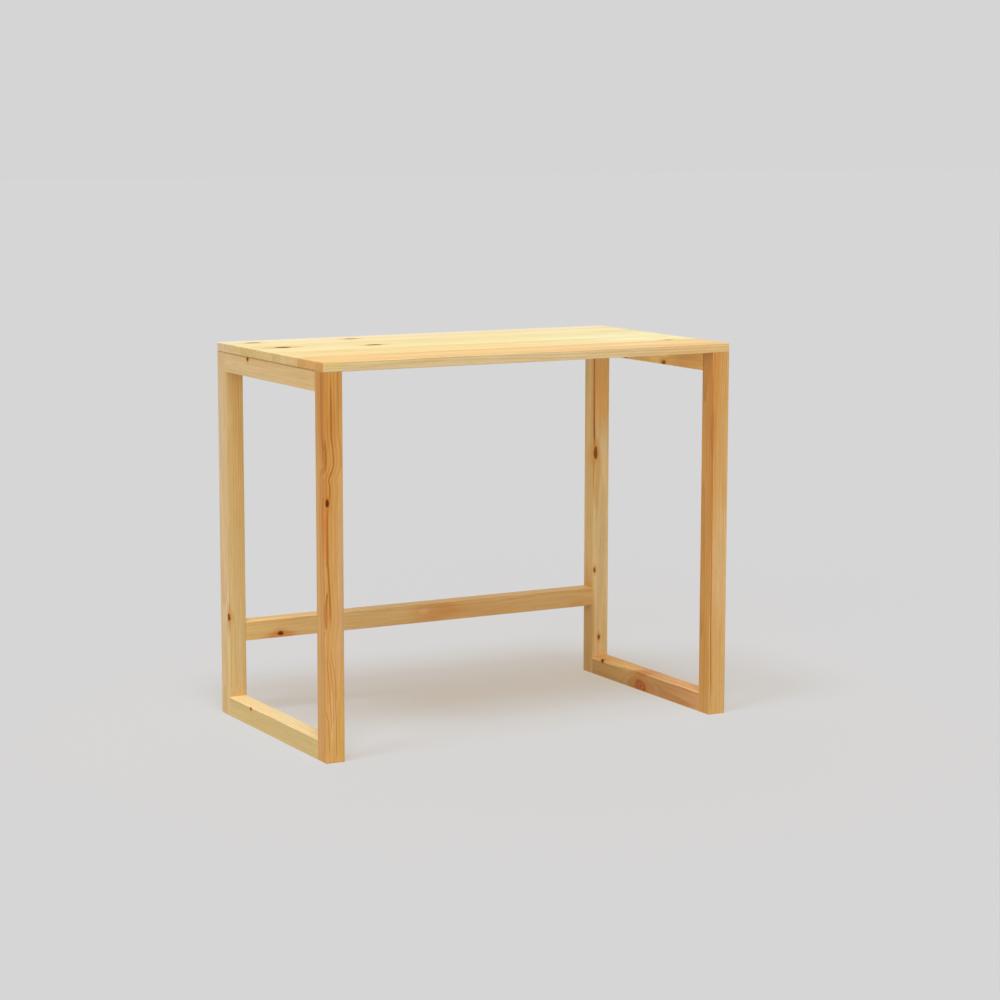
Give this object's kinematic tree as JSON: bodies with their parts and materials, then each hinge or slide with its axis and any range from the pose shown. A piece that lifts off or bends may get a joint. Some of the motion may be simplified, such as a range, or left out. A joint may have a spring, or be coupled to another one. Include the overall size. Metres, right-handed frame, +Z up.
{
  "type": "writing desk",
  "caption": "Solid pine writing desk: a flat top glued up from staves on two square-timber end frames, joined low at the back by a stretcher.",
  "frame": {"origin": "on the floor, under the middle of the top", "axes": "+X along the desk's length, towards the right end as seen from the front; -Y towards the front, where the user sits; +Z up"},
  "size_m": [0.888, 0.494, 0.75],
  "materials": {
    "pine_top": "planed pine, clear satin oil, grain along the length",
    "pine_frame": "planed pine with darker heartwood, clear satin oil",
    "beech_dowel": "bare turned beech",
    "zinc_steel": "zinc plated steel"
  },
  "bodies": {
    "root": {"front_left_leg": "pine_frame", "rear_left_leg": "pine_frame", "front_right_leg": "pine_frame", "rear_right_leg": "pine_frame", "left_bottom_rail": "pine_frame", "left_top_rail": "pine_frame", "right_bottom_rail": "pine_frame", "right_top_rail": "pine_frame", "rear_stretcher": "pine_frame", "left_frame_dowels": "beech_dowel", "right_frame_dowels": "beech_dowel", "stretcher_dowels": "beech_dowel", "top_screws": "zinc_steel", "top_stave_01": "pine_top", "top_stave_02": "pine_top", "top_stave_03": "pine_top", "top_stave_04": "pine_top", "top_stave_05": "pine_top", "top_stave_06": "pine_top", "top_stave_07": "pine_top", "top_stave_08": "pine_top", "top_stave_09": "pine_top", "top_stave_10": "pine_top", "top_stave_11": "pine_top", "top_stave_12": "pine_top", "top_stave_13": "pine_top"}
  },
  "joints": []
}
